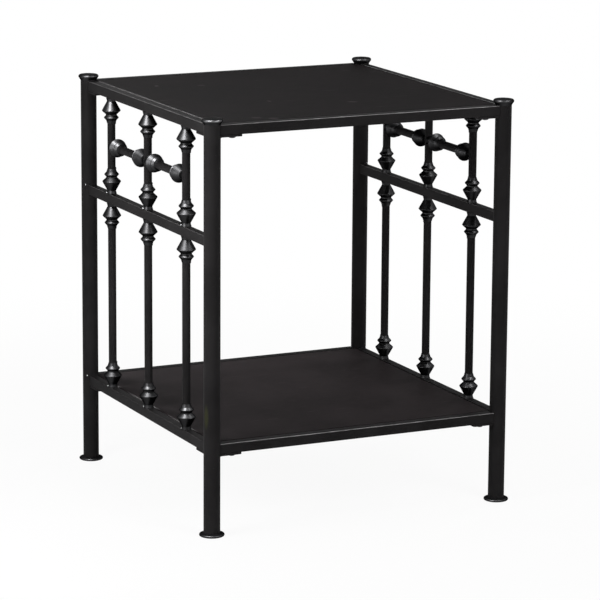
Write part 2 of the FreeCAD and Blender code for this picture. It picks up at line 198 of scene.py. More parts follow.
class StageSettings(bpy.types.PropertyGroup):
    """Camera, floor and lights."""

    azimuth: bpy.props.FloatProperty(
        name="Azimuth", description="Camera's turn from straight in front, to the right",
        subtype="ANGLE", default=math.radians(-25.519))
    elevation: bpy.props.FloatProperty(
        name="Elevation", description="Camera's angle above the floor",
        subtype="ANGLE", default=math.radians(12.287))
    roll: bpy.props.FloatProperty(
        name="Roll", description="Camera's tilt about its own view",
        subtype="ANGLE", default=math.radians(0.386))
    distance: bpy.props.FloatProperty(
        name="Distance", description="Camera to the point it looks at",
        unit="LENGTH", default=5.1632)
    target: bpy.props.FloatVectorProperty(
        name="Target", description="Point that the camera looks at", subtype="TRANSLATION", size=3,
        default=(0.0172, 0, 0.292))
    lens: bpy.props.FloatProperty(
        name="Lens", description="Focal length on a 36 mm sensor", subtype="DISTANCE_CAMERA",
        default=194.87)
    floor_size: bpy.props.FloatProperty(
        name="Floor", description="Width of the floor", unit="LENGTH", default=60)
    floor_colour: bpy.props.FloatVectorProperty(
        name="Floor colour", description="Pale studio floor", subtype="COLOR", size=3,
        min=0, max=1, default=(0.9, 0.9, 0.9))
    backdrop_share: bpy.props.FloatProperty(
        name="Backdrop", description="How far the floor fades into the white backdrop at the feet",
        subtype="FACTOR", min=0, max=1, default=0.94)
    ceiling: bpy.props.FloatProperty(
        name="Ceiling", description="Level of the studio above the white backdrop",
        min=0, default=0.05)
    fill: bpy.props.FloatProperty(
        name="Fill", description="Level of the light from all round", min=0, default=0.05)
    key: bpy.props.FloatProperty(
        name="Key", description="Power of the key light on the left",
        subtype="POWER", default=7.9)
    front: bpy.props.FloatProperty(
        name="Front", description="Power of the front light", subtype="POWER", default=16.6)
    side: bpy.props.FloatProperty(
        name="Side", description="Power of the light on the right", subtype="POWER", default=9)
    rear: bpy.props.FloatProperty(
        name="Rear", description="Power of the light behind", subtype="POWER", default=8)
    shelf: bpy.props.FloatProperty(
        name="Shelf", description="Power of the low light behind on the left, for the sheets only",
        subtype="POWER", default=30)
    gloss: bpy.props.FloatProperty(
        name="Gloss", description="Power of the high light on the left, for glossy coats only",
        subtype="POWER", default=135)
    glint: bpy.props.FloatProperty(
        name="Glint", description="Power of the high light on the right, for glossy coats only",
        subtype="POWER", default=30)


# Shader nodes

# Products of a normal's upward and sideways parts between which an edge counts as rounded
ROUNDED_EDGE = (0.3, 0.44)
# Heights in metres between which the lower shelf's values give way to the upper's
BETWEEN_SHELVES = (0.2, 0.6)
# Share of a mark's half sizes within which it is full
MARK_CORE = 0.3


class Wire:
    """A value in a node tree. Arithmetic on it adds Math nodes."""

    def __init__(self, tree, socket):
        self.tree = tree
        self.socket = socket

    def math(self, operation, *values):
        return self.tree.add("ShaderNodeMath", {"operation": operation}, dict(enumerate(values)))

    def __add__(self, other):
        return self.math("ADD", self, other)

    def __radd__(self, other):
        return self.math("ADD", other, self)

    def __sub__(self, other):
        return self.math("SUBTRACT", self, other)

    def __rsub__(self, other):
        return self.math("SUBTRACT", other, self)

    def __mul__(self, other):
        return self.math("MULTIPLY", self, other)

    def __rmul__(self, other):
        return self.math("MULTIPLY", other, self)

    def __abs__(self):
        return self.math("ABSOLUTE", self)

    def at_least(self, other):
        return self.math("MAXIMUM", self, other)

    def rises(self, low, high):
        """Nothing below low and one above high, with a smooth step between them."""
        return self.tree.add(
            "ShaderNodeMapRange", {"interpolation_type": "SMOOTHSTEP"},
            {"Value": self, "From Min": low, "From Max": high})


class Tree:
    """The node tree of a material or a world, emptied and ready for new nodes."""

    def __init__(self, owner):
        owner.use_nodes = True
        self.nodes = owner.node_tree.nodes
        self.links = owner.node_tree.links
        self.nodes.clear()

    def add(self, kind, settings=None, sockets=None, output=0):
        """A new node of any kind. Its settings come first, then its sockets' values or wires."""
        node = self.nodes.new(kind)
        for name, value in (settings or {}).items():
            setattr(node, name, value)
        for name, value in (sockets or {}).items():
            if isinstance(value, Wire):
                self.links.new(value.socket, node.inputs[name])
            else:
                node.inputs[name].default_value = value
        return Wire(self, node.outputs[output]) if node.outputs else node

    def place(self, stretch=(1, 1, 1), turn=0):
        """The point on the piece, in metres, stretched and turned about the upright axis."""
        point = self.add("ShaderNodeTexCoord", output="Object")
        return self.add("ShaderNodeMapping", None,
                        {"Vector": point, "Scale": stretch, "Rotation": (0, 0, turn)})

    def noise(self, place, waves, detail=2, roughness=0.5):
        """Noise with so many waves to the metre."""
        return self.add(
            "ShaderNodeTexNoise", None,
            {"Vector": place, "Scale": waves, "Detail": detail, "Roughness": roughness})

    def split(self, vector):
        """The three parts of a vector."""
        return (self.add("ShaderNodeSeparateXYZ", None, {"Vector": vector}, output=axis)
                for axis in "XYZ")

    def length(self, vector):
        return self.add("ShaderNodeVectorMath", {"operation": "LENGTH"}, {"Vector": vector},
                        output="Value")

    def upper_edges(self, ends, sides):
        """Painted highlight on the rounded upper edges, broken up by noise. Ends are those along
        the front and the back, and both numbers of each are its share at the lower and at the upper
        shelf."""
        x, y, z = self.split(self.add("ShaderNodeNewGeometry", output="Normal"))
        _, back, height = self.split(self.place())
        upper = height.rises(*BETWEEN_SHELVES)
        end_share = ends[0] + (ends[1] - ends[0]) * upper
        end_mask = (y * back * z * (1 / LEG_SPREAD)).rises(*ROUNDED_EDGE) * end_share
        side_share = sides[0] + (sides[1] - sides[0]) * upper
        side_mask = (abs(x) * z).rises(*ROUNDED_EDGE) * side_share
        # Noise breaks the painted highlight into patches
        highlight_breakup = self.noise(self.place(), 60, 3).rises(0.3, 0.6)
        return end_mask.at_least(side_mask) * (0.55 + 0.45 * highlight_breakup)

    def mark(self, centre, size, turn=0):
        """One on a soft-edged spot about a point of the piece, nothing away from it."""
        point = self.add("ShaderNodeTexCoord", output="Object")
        inside = self.add(
            "ShaderNodeMapping", {"vector_type": "TEXTURE"},
            {"Vector": point, "Location": centre, "Rotation": (0, 0, turn), "Scale": size})
        return 1 - self.length(inside).rises(MARK_CORE, 1)

    def blend(self, share, first, second):
        """A colour between two."""
        return self.add("ShaderNodeMix", {"data_type": "RGBA"},
                        {0: share, 6: first, 7: second}, output=2)

    def shades(self, share, colour, darkest, palest):
        """A coat's colour from darker to paler, each so many times the coat's own."""
        return self.blend(share, rgba(colour, darkest), rgba(colour, palest))

    def bump(self, height, depth, under=None):
        """A normal for a relief of so many metres, over another normal if there is one."""
        sockets = {"Strength": 1.0, "Distance": depth, "Height": height}
        if under:
            sockets["Normal"] = under
        return self.add("ShaderNodeBump", None, sockets)

    def surface(self, sockets):
        shader = self.add("ShaderNodeBsdfPrincipled", None, sockets)
        self.add("ShaderNodeOutputMaterial", None, {"Surface": shader})


def rgba(colour, times=1.0):
    """An opaque colour, so many times as bright."""
    return (*(min(channel * times, 1.0) for channel in colour), 1.0)


# Finishes

# Depths of the reliefs
ORANGE_PEEL_DEPTH = 0.06 * MILLIMETRE
DRAWN_DEPTH = 0.05 * MILLIMETRE
MOTTLE_DEPTH = 0.12 * MILLIMETRE
SAND_DEPTH = 0.03 * MILLIMETRE
OXIDE_DEPTH = 0.03 * MILLIMETRE

# How many times brighter than its coat a marked place is, or a painted highlight on an edge or a
# rim
FRAME_SPECK = 3.5
FRAME_EDGE_HIGHLIGHT = 10.0
SHEET_MOTTLE = 1.3
SHEET_SCUFF = 6.0
SHEET_EDGE_HIGHLIGHT = 5.5
CAP_RIM_HIGHLIGHT = 3.2
# Roughness of the clear coat on the edges that carry a painted highlight
EDGE_COAT_ROUGHNESS = 0.4

# Shares of painted highlight on the upper edges, each at the lower and at the upper shelf
RAIL_EDGE_HIGHLIGHTS = {"ends": (1, 1), "sides": (0.14, 0.5)}
SHEET_EDGE_HIGHLIGHTS = {"ends": (0, 0.5), "sides": (0.05, 1)}

# Scuffs seen on the top: place from the middle, half length and width, turn, strength
SCUFFS = (
    ((-0.170, 0.139), (0.005, 0.007), -0.4, 1.0),
    ((-0.072, -0.072), (0.004, 0.006), 0.2, 0.8),
    ((-0.158, -0.212), (0.012, 0.007), -0.5, 0.6),
    ((-0.136, -0.226), (0.011, 0.009), -0.4, 0.6),
    ((0.043, -0.128), (0.011, 0.005), -0.5, 1.0),
    ((-0.102, 0.118), (0.009, 0.009), 0.4, 0.3),
)
SCUFF_DEPTH = 1 * MILLIMETRE

# Smudge seen on the front left leg, and painted highlight on the rim of its cap: centre and half
# sizes
SMUDGE_CENTRE = (-LEG_SPREAD - 0.0115, -LEG_SPREAD - 0.005, 0.186)
SMUDGE_SIZE = (0.004, 0.006, 0.024)
SMUDGE_COLOUR = (0.034, 0.036, 0.018, 1)
SMUDGE_SHARE = 0.8
CAP_HIGHLIGHT_CENTRE = (-LEG_SPREAD, -LEG_SPREAD - 0.015, CAD_BOX[1][2] - 0.0022)
CAP_HIGHLIGHT_SIZE = (0.02, 0.009, 0.0018)


def frame_paint(name="Frame paint", highlit=False):
    """Satin powder coat on tube: faint clouds, fine orange peel, a few pale specks, a smudge."""
    finish = bpy.context.scene.nightstand_finish
    material = bpy.data.materials.new(name)
    tree = Tree(material)
    place = tree.place()
    clouds = tree.noise(place, 11, 3)
    peel = tree.noise(place, 900, 2)
    drawn = tree.noise(tree.place((1, 1, 0.08)), 260, 3)
    specks = tree.noise(place, 420, 1).rises(0.76, 0.82)
    colour = tree.shades(clouds.rises(0.3, 0.7), finish.frame_colour, 0.82, 1.18)
    colour = tree.blend(specks * 0.5, colour, rgba(finish.frame_colour, FRAME_SPECK))
    smudge = tree.mark(SMUDGE_CENTRE, SMUDGE_SIZE)
    colour = tree.blend(smudge * SMUDGE_SHARE, colour, SMUDGE_COLOUR)
    rough = finish.frame_roughness - 0.06 + 0.08 * clouds + 0.06 * drawn
    relief = tree.bump(peel, ORANGE_PEEL_DEPTH, tree.bump(drawn, DRAWN_DEPTH))
    sockets = {"Roughness": rough, "Normal": relief, "Specular IOR Level": finish.frame_shine}
    if highlit:
        # Painted highlight: the upper edges are made paler to stand in for the lamps' gloss, under
        # a clear coat
        edges = tree.upper_edges(**RAIL_EDGE_HIGHLIGHTS)
        colour = tree.blend(edges, colour, rgba(finish.frame_colour, FRAME_EDGE_HIGHLIGHT))
        sockets |= {"Coat Weight": edges * finish.edge_coat, "Coat Roughness": EDGE_COAT_ROUGHNESS}
    tree.surface({"Base Color": colour, **sockets})
    return material


def rail_paint():
    """The frame's coat on box tube, with a painted highlight along the upper edges."""
    return frame_paint("Rail paint", highlit=True)


def sheet_paint():
    """Satin powder coat on sheet: mottled, with faint scuffs, and a painted highlight on the folds.
    """
    finish = bpy.context.scene.nightstand_finish
    material = bpy.data.materials.new("Sheet paint")
    tree = Tree(material)
    place = tree.place()
    clouds = tree.noise(place, 6, 4, 0.6)
    mottle = tree.noise(place, 70, 3)
    peel = tree.noise(place, 800, 2)
    scuffs = tree.noise(tree.place((1, 9, 1), 0.35), 9, 4, 0.65).rises(0.66, 0.74)
    scratches = tree.noise(tree.place((1, 34, 1), -0.6), 16, 2).rises(0.72, 0.76)
    specks = tree.noise(place, 300, 1).rises(0.77, 0.83)
    colour = tree.shades(clouds.rises(0.35, 0.65), finish.sheet_colour, 0.78, 1.2)
    colour = tree.blend(mottle.rises(0.35, 0.75) * 0.25, colour,
                        rgba(finish.sheet_colour, SHEET_MOTTLE))
    marks = (scuffs * 0.2).at_least(scratches * 0.35).at_least(specks * 0.4)
    for (right, back), (half_length, half_width), turn, strength in SCUFFS:
        scuff = tree.mark((right, back, TOP), (half_length, half_width, SCUFF_DEPTH), turn)
        marks = marks.at_least(scuff * (0.5 + 0.5 * mottle.rises(0.3, 0.6)) * strength)
    colour = tree.blend(marks, colour, rgba(finish.sheet_colour, SHEET_SCUFF))
    # Painted highlight: the folds are made paler, strongly at the upper shelf and hardly at the
    # lower
    edges = tree.upper_edges(**SHEET_EDGE_HIGHLIGHTS)
    colour = tree.blend(edges, colour, rgba(finish.sheet_colour, SHEET_EDGE_HIGHLIGHT))
    rough = finish.sheet_roughness - 0.05 + 0.1 * clouds - 0.06 * scuffs
    relief = tree.bump(peel, ORANGE_PEEL_DEPTH, tree.bump(mottle, MOTTLE_DEPTH))
    tree.surface({"Base Color": colour, "Roughness": rough, "Normal": relief,
                  "Specular IOR Level": finish.sheet_shine,
                  "Coat Weight": edges * finish.edge_coat, "Coat Roughness": EDGE_COAT_ROUGHNESS})
    return material


def casting_paint():
    """Semi-gloss coat over a sand-cast skin, with a painted highlight on the rim of the front left
    cap.
    """
    finish = bpy.context.scene.nightstand_finish
    material = bpy.data.materials.new("Casting paint")
    tree = Tree(material)
    place = tree.place()
    clouds = tree.noise(place, 60, 3)
    sand = tree.noise(place, 520, 4, 0.6)
    pits = 1 - tree.noise(place, 900, 1).rises(0.24, 0.32)
    colour = tree.shades(clouds.rises(0.3, 0.7), finish.casting_colour, 0.8, 1.2)
    # Painted highlight: the front of the front left cap's rim is made paler, standing in for the
    # lamps' gloss
    rim_highlight = tree.mark(CAP_HIGHLIGHT_CENTRE, CAP_HIGHLIGHT_SIZE)
    colour = tree.blend(rim_highlight, colour, rgba(finish.casting_colour, CAP_RIM_HIGHLIGHT))
    rough = finish.casting_roughness - 0.05 + 0.14 * clouds
    relief = tree.bump(sand - pits * 0.4, SAND_DEPTH)
    tree.surface({"Base Color": colour, "Roughness": rough, "Normal": relief, "Metallic": 1.0,
                  "Specular Tint": rgba(finish.casting_rim)})
    return material


def zinc_plate():
    """Bright zinc with a faint cloud."""
    finish = bpy.context.scene.nightstand_finish
    material = bpy.data.materials.new("Zinc plate")
    tree = Tree(material)
    clouds = tree.noise(tree.place(), 400, 3)
    colour = tree.shades(clouds, finish.zinc_colour, 0.8, 1.2)
    tree.surface({"Base Color": colour, "Roughness": 0.3 + 0.15 * clouds, "Metallic": 1.0})
    return material


def black_oxide():
    """Oiled black oxide on turned steel."""
    finish = bpy.context.scene.nightstand_finish
    material = bpy.data.materials.new("Black oxide")
    tree = Tree(material)
    clouds = tree.noise(tree.place(), 500, 3)
    colour = tree.shades(clouds, finish.bolt_colour, 0.7, 1.3)
    tree.surface({"Base Color": colour, "Roughness": 0.32 + 0.15 * clouds,
                  "Normal": tree.bump(clouds, OXIDE_DEPTH), "Specular IOR Level": 0.4})
    return material


MAKERS = {
    "frame_paint": frame_paint,
    "rail_paint": rail_paint,
    "sheet_paint": sheet_paint,
    "casting_paint": casting_paint,
    "bare_steel": zinc_plate,
    "bolt_finish": black_oxide,
}


def finish_for(name):
    """A finish, made the first time it is asked for."""
    found = next((made for made in bpy.data.materials if made.get("finish") == name), None)
    if found is None:
        found = MAKERS[name]()
        found["finish"] = name
    return found


def paint_nodes(slot, test=lambda node: True, finish=None):
    """Give the nodes of a slot that pass a test their finish."""
    nodes = [row["node"] for row in frame["record"]["subparts"]
             if row["material_slot"] == slot and test(row["node"])]
    if not nodes:
        raise RuntimeError(f"No node to paint has the slot {slot}")
    for node in nodes:
        frame["nodes"][node].material_slots[0].material = finish_for(finish or slot)


def is_rail(node):
    return node.startswith("rail_")


# Modelling

def choose(*pieces):
    """Select only these pieces, the last of them active."""
    bpy.ops.object.select_all(action="DESELECT")
    for piece in pieces:
        piece.select_set(True)
        bpy.context.view_layer.objects.active = piece


@contextmanager
def editing(piece):
    """Edit mode on one piece."""
    choose(piece)
    bpy.ops.object.mode_set(mode="EDIT")
    yield
    bpy.ops.object.mode_set(mode="OBJECT")


def pick(piece, kind, test):
    """Select only the vertices, edges or faces that pass a test."""
    bpy.ops.mesh.select_mode(type={"verts": "VERT", "edges": "EDGE", "faces": "FACE"}[kind])
    bpy.ops.mesh.select_all(action="DESELECT")
    mesh = bmesh.from_edit_mesh(piece.data)
    for element in getattr(mesh, kind):
        element.select_set(test(element))
    mesh.select_flush_mode()
    bmesh.update_edit_mesh(piece.data)


def apply_modifier(piece, kind, **settings):
    """Add a modifier with its settings and apply it."""
    choose(piece)
    modifier = piece.modifiers.new(kind.title(), kind)
    for name, value in settings.items():
        setattr(modifier, name, value)
    bpy.ops.object.modifier_apply(modifier=modifier.name)


def copies_at(piece, moves):
    """Copies of a piece, each with its own mesh, moved from where it is."""
    copies = []
    for move in moves:
        choose(piece)
        bpy.ops.object.duplicate(linked=False)
        bpy.ops.transform.translate(value=move)
        copies.append(bpy.context.object)
    return copies


def deliver(pieces, name, slot, replaces=()):
    """Join the pieces into one that keeps its place in its mesh, finish it and let it ride."""
    choose(*pieces)
    if len(pieces) > 1:
        bpy.ops.object.join()
    whole = bpy.context.object
    bpy.ops.object.transform_apply(location=True, rotation=True, scale=True)
    whole.name = name
    whole.data.name = name
    whole.data.materials.clear()
    whole.data.materials.append(finish_for(slot))
    if replaces:
        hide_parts(*replaces)
    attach(whole, BODY)
    bpy.ops.object.select_all(action="DESELECT")


# Welds

# Cuts along each straight of a seam, and segments round its corners
SEAM_CUTS = 27
CORNER_SEGMENTS = 4
# Swell of a bead where its pass starts, as a share of the bead
START_SWELL = 0.7
# Half the arc of a leg that its corner plate is welded to, and the steps and sides of that bead
PLATE_HALF_ARC = math.radians(76)
PLATE_STEPS = 48
BEAD_SIDES = 12
BEAD_SHARP_ANGLE = math.radians(40)
MERGE_DISTANCE = 0.001 * MILLIMETRE
# Unevenness of a tack, as a share of its smallest radius
TACK_UNEVENNESS = 1 / 6
# Radii of the tacks at tips and at ties as shares of a tack, and of spatter as shares of a spot
TIP_TACK_SHARES = (0.75, 0.75, 1.1)
TIE_TACK_SHARES = (1.0, 0.8, 0.8)
SPATTER_SHARES = (1, 1, 1.5)
# How high on a collar's foot a tie's tack sits, as a share of the foot's wall
TIE_TACK_LIFT = 0.7
# Ways from a collar's axis and from a leg's axis to the spatter, on the right side
COLLAR_SPATTER_WAY = (math.cos(0.5), math.sin(0.5))
LEG_SPATTER_WAY = (0.74, -0.67)


def scaled(shares, radius):
    return tuple(share * radius for share in shares)


def seam_loop(side, end, level):
    """The line where a side rail meets its leg."""
    weld = bpy.context.scene.nightstand_weld
    leg = frame["nodes"][f"leg_{end}_{side}"]
    middle = centre(f"rail_{side}_{level}")
    start = centre(leg.name).y - ENDS[end] * 2 * LEG_RADIUS
    choose()
    bpy.ops.mesh.primitive_plane_add(size=1, location=(middle.x, start, middle.z),
                                     rotation=(QUARTER_TURN, 0, 0))
    loop = bpy.context.object
    loop.scale = (RAIL_WIDTH, RAIL_HEIGHT, 1)
    bpy.ops.object.transform_apply(location=True, rotation=True, scale=True)
    with editing(loop):
        bpy.ops.mesh.select_all(action="SELECT")
        bpy.ops.mesh.bevel(offset=weld.rail_corner, segments=CORNER_SEGMENTS, affect="VERTICES")
        bpy.ops.mesh.delete(type="ONLY_FACE")
        pick(loop, "edges", lambda edge: edge.calc_length() > weld.rail_corner)
        bpy.ops.mesh.subdivide(number_cuts=SEAM_CUTS)
    apply_modifier(loop, "SHRINKWRAP", wrap_method="PROJECT", target=leg, use_project_y=True,
                   use_positive_direction=end == "back", use_negative_direction=end == "front")
    return loop


def rail_bead(side, end, level):
    """A rippled bead along the seam, fat where the pass starts and ground on the rail's sides."""
    weld = bpy.context.scene.nightstand_weld
    middle = centre(f"rail_{side}_{level}")
    bead = seam_loop(side, end, level)
    choose(bead)
    bpy.ops.object.convert(target="CURVE")
    curve = bpy.context.object.data
    curve.dimensions = "3D"
    curve.bevel_depth = weld.bead_radius
    curve.bevel_resolution = 2
    start = Vector((SIDES[side] * RAIL_WIDTH / 2, 0, RAIL_HEIGHT / 2))
    run = 0.0
    previous = None
    for point in curve.splines[0].points:
        here = point.co.to_3d()
        run += (here - previous).length if previous else 0.0
        previous = here
        off = here - middle
        off.y = 0
        on_side = abs(off.x) > RAIL_WIDTH / 2 - weld.rail_corner / 2
        swell = 1 + weld.ripple_height * math.sin(math.tau * run / weld.ripple_length)
        blob = START_SWELL * math.exp(-((off - start).length / weld.tack_radius) ** 2)
        point.radius = (weld.ground_share if on_side else 1) * swell + blob
    bpy.ops.object.convert(target="MESH")
    bpy.ops.object.shade_smooth()
    return bpy.context.object


def collar_bead(side, height):
    """A thin rippled ring at a collar's foot."""
    weld = bpy.context.scene.nightstand_weld
    middle = centre(f"spindle_{side}_upper_middle")
    middle.z = height
    foot_radius = SPINDLE_RADIUS + weld.collar_foot_wall
    choose()
    bpy.ops.mesh.primitive_torus_add(
        location=middle, major_radius=foot_radius, minor_radius=weld.ring_share * weld.bead_radius,
        major_segments=96, minor_segments=10, generate_uvs=False)
    ring = bpy.context.object
    ripples = round(math.tau * foot_radius / weld.ripple_length)
    with editing(ring):
        pick(ring, "verts", lambda vert: math.cos(math.atan2(vert.co.y, vert.co.x) * ripples) > 0)
        bpy.ops.transform.shrink_fatten(value=weld.ripple_height * weld.bead_radius)
        bpy.ops.mesh.select_all(action="SELECT")
        bpy.ops.mesh.vertices_smooth(factor=0.5, repeat=1)
    bpy.ops.object.shade_smooth()
    return ring


def tack(place, radii, seed):
    """A small lump of weld metal."""
    choose()
    bpy.ops.mesh.primitive_ico_sphere_add(subdivisions=3, radius=1, location=place)
    lump = bpy.context.object
    lump.scale = radii
    bpy.ops.object.transform_apply(location=False, rotation=False, scale=True)
    with editing(lump):
        bpy.ops.mesh.select_all(action="SELECT")
        bpy.ops.transform.vertex_random(offset=min(radii) * TACK_UNEVENNESS, normal=0.5, seed=seed)
        bpy.ops.mesh.vertices_smooth(factor=0.5, repeat=1)
    bpy.ops.object.shade_smooth()
    return lump


def plate_bead(shelf, side, end):
    """An arc of bead between a leg and its corner plate, spun about the leg from below."""
    weld = bpy.context.scene.nightstand_weld
    leg = centre(f"leg_{end}_{side}")
    low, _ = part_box(f"corner_plates_{shelf}")
    leg.z = low.z
    inward = math.atan2(-ENDS[end], -SIDES[side])
    first = inward + PLATE_HALF_ARC
    start = leg + Vector((math.cos(first), math.sin(first), 0)) * LEG_RADIUS
    choose()
    bpy.ops.mesh.primitive_circle_add(
        vertices=BEAD_SIDES, radius=weld.bead_radius, fill_type="NGON",
        location=start, rotation=(QUARTER_TURN, 0, first))
    arc = bpy.context.object
    bpy.ops.object.transform_apply(location=True, rotation=True, scale=True)
    with editing(arc):
        bpy.ops.mesh.select_all(action="SELECT")
        bpy.ops.mesh.spin(steps=PLATE_STEPS, angle=2 * PLATE_HALF_ARC, center=leg, axis=(0, 0, 1))
        bpy.ops.mesh.select_all(action="SELECT")
        bpy.ops.mesh.remove_doubles(threshold=MERGE_DISTANCE)
        bpy.ops.mesh.fill_holes(sides=BEAD_SIDES)
        bpy.ops.mesh.normals_make_consistent(inside=False)
    bpy.ops.object.shade_smooth_by_angle(angle=BEAD_SHARP_ANGLE)
    return arc


# Bolts

# Straight rim of a head, as a share of the head's height
RIM_SHARE = 0.2
# Angle that the dome of a head turns through, and its steps
DOME_ANGLE = math.radians(78)
DOME_STEPS = 7
# Broken edges, and the angle from which an edge counts as sharp
EDGE_BEVEL = 0.12 * MILLIMETRE
SHARP_ANGLE = math.radians(35)


def button_bolt(place):
    """A button-head bolt with a hexagon socket, pointing up, its head hanging below the place."""
    bolt = bpy.context.scene.nightstand_bolt
    rim = RIM_SHARE * bolt.head_height
    low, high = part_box("shelf_bolts_upper")
    shank = high.z - low.z - bolt.head_height
    choose()
    bpy.ops.mesh.primitive_cylinder_add(vertices=48, radius=bolt.head_radius, depth=rim,
                                        location=place - Vector((0, 0, rim / 2)))
    piece = bpy.context.object
    with editing(piece):
        pick(piece, "faces", lambda face: face.normal.z < -0.9)
        width = 1.0
        for step in range(1, DOME_STEPS + 1):
            angle = DOME_ANGLE * step / DOME_STEPS
            rise = math.sin(angle) - math.sin(angle - DOME_ANGLE / DOME_STEPS)
            drop = (bolt.head_height - rim) * rise
            bpy.ops.mesh.extrude_region_move(TRANSFORM_OT_translate={"value": (0, 0, -drop)})
            bpy.ops.transform.resize(value=(math.cos(angle) / width, math.cos(angle) / width, 1))
            width = math.cos(angle)
        pick(piece, "faces", lambda face: face.normal.z > 0.9)
        bpy.ops.mesh.inset(thickness=bolt.head_radius - bolt.shank_radius)
        bpy.ops.mesh.extrude_region_move(TRANSFORM_OT_translate={"value": (0, 0, shank)})
    socket_radius = bolt.socket_width / math.sqrt(3)
    choose()
    bpy.ops.mesh.primitive_cylinder_add(
        vertices=6, radius=socket_radius, depth=2 * bolt.socket_depth,
        location=place - Vector((0, 0, bolt.head_height)))
    cutter = bpy.context.object
    apply_modifier(piece, "BOOLEAN", operation="DIFFERENCE", object=cutter)
    bpy.data.objects.remove(cutter)
    apply_modifier(piece, "BEVEL", width=EDGE_BEVEL, segments=2, angle_limit=SHARP_ANGLE)
    choose(piece)
    bpy.ops.object.shade_smooth_by_angle(angle=SHARP_ANGLE)
    return piece


# Stage

# Azimuth and elevation of each light in degrees, its distance and its width in metres
LIGHTS = {
    "key": (-72, 20, 1.1, 0.4),
    "front": (15, 32, 2.0, 0.7),
    "side": (100, 30, 2.0, 0.7),
    "rear": (180, 40, 2.0, 0.7),
    "shelf": (-150, 10, 1.1, 0.4),
    "gloss": (-65, 56, 2.0, 0.45),
    "glint": (45, 56, 2.0, 0.45),
}
# Distances in metres from the middle, between which the floor fades into the backdrop
FLOOR_FADE = (0.45, 1.6)
# Upward parts of a direction between which the backdrop gives way to the studio's ceiling
CEILING_RISE = (0.12, 0.42)


def direction(azimuth, elevation):
    """From the object towards an azimuth, turned from straight in front, and an elevation."""
    return Vector((math.sin(azimuth) * math.cos(elevation),
                   -math.cos(azimuth) * math.cos(elevation),
                   math.sin(elevation)))


def add_softbox(name, azimuth, elevation, distance, size, power, aim):
    """A square area light that looks at a point."""
    way = direction(math.radians(azimuth), math.radians(elevation))
    bpy.ops.object.light_add(type="AREA", location=aim + way * distance)
    lamp = bpy.context.object
    lamp.name = name
    lamp.rotation_euler = way.to_track_quat("Z", "Y").to_euler()
    lamp.data.shape = "SQUARE"
    lamp.data.size = size
    lamp.data.energy = power
    return lamp


def seen_rays(tree):
    """One where the camera, a gloss or a clear piece looks, and nothing for plain light."""
    camera, glossy, clear = (
        tree.add("ShaderNodeLightPath", output=name)
        for name in ("Is Camera Ray", "Is Glossy Ray", "Is Transmission Ray"))
    return camera.at_least(glossy).at_least(clear)


def floor_material():
    """Pale matt floor that fades into the white backdrop and is open from below."""
    stage = bpy.context.scene.nightstand_stage
    material = bpy.data.materials.new("Studio floor")
    tree = Tree(material)
    matt = tree.add("ShaderNodeBsdfDiffuse", None, {"Color": rgba(stage.floor_colour)})
    white = tree.add("ShaderNodeEmission", None, {"Color": (1, 1, 1, 1), "Strength": 1.0})
    far = tree.length(tree.place()).rises(*FLOOR_FADE)
    share = stage.backdrop_share + (1 - stage.backdrop_share) * far
    top = tree.add("ShaderNodeMixShader", None, {0: seen_rays(tree) * share, 1: matt, 2: white})
    below = tree.add("ShaderNodeNewGeometry", output="Backfacing")
    clear = tree.add("ShaderNodeBsdfTransparent")
    both_sides = tree.add("ShaderNodeMixShader", None, {0: below, 1: top, 2: clear})
    tree.add("ShaderNodeOutputMaterial", None, {"Surface": both_sides})
    return material


def set_world():
    """White backdrop with a darker ceiling, which the camera doesn't see, and faint even light."""
    stage = bpy.context.scene.nightstand_stage
    world = bpy.data.worlds.new("Studio")
    bpy.context.scene.world = world
    tree = Tree(world)
    way = tree.add("ShaderNodeTexCoord", output="Generated")
    up = tree.add("ShaderNodeSeparateXYZ", None, {"Vector": way}, output="Z")
    camera = tree.add("ShaderNodeLightPath", output="Is Camera Ray")
    ceiling = up.rises(*CEILING_RISE) * (1 - camera)
    backdrop = tree.blend(ceiling, (1, 1, 1, 1), rgba((stage.ceiling,) * 3))
    level = tree.blend(seen_rays(tree), rgba((stage.fill,) * 3), backdrop)
    light = tree.add("ShaderNodeBackground", None, {"Color": level, "Strength": 1.0})
    tree.add("ShaderNodeOutputWorld", None, {"Surface": light})


# Operators

class NIGHTSTAND_OT_paint_frame(bpy.types.Operator):
    """Paint the legs, spindles, ties and corner plates"""
    bl_idname = "nightstand.paint_frame"
    bl_label = "Paint Frame"

    def execute(self, context):
        paint_nodes("frame_paint", lambda node: not is_rail(node))
        return {"FINISHED"}


class NIGHTSTAND_OT_paint_rails(bpy.types.Operator):
    """Paint the rails, with a painted highlight along their upper edges"""
    bl_idname = "nightstand.paint_rails"
    bl_label = "Paint Rails"

    def execute(self, context):
        paint_nodes("frame_paint", is_rail, "rail_paint")
        return {"FINISHED"}


class NIGHTSTAND_OT_paint_shelves(bpy.types.Operator):
    """Paint the shelf sheets"""
    bl_idname = "nightstand.paint_shelves"
    bl_label = "Paint Shelves"

    def execute(self, context):
        paint_nodes("sheet_paint")
        return {"FINISHED"}


class NIGHTSTAND_OT_paint_castings(bpy.types.Operator):
    """Paint the collars, leg caps and feet"""
    bl_idname = "nightstand.paint_castings"
    bl_label = "Paint Castings"

    def execute(self, context):
        paint_nodes("casting_paint")
        return {"FINISHED"}


class NIGHTSTAND_OT_plate_inserts(bpy.types.Operator):
    """Zinc-plate the threaded inserts"""
    bl_idname = "nightstand.plate_inserts"
    bl_label = "Plate Inserts"

    def execute(self, context):
        paint_nodes("bare_steel")
        return {"FINISHED"}


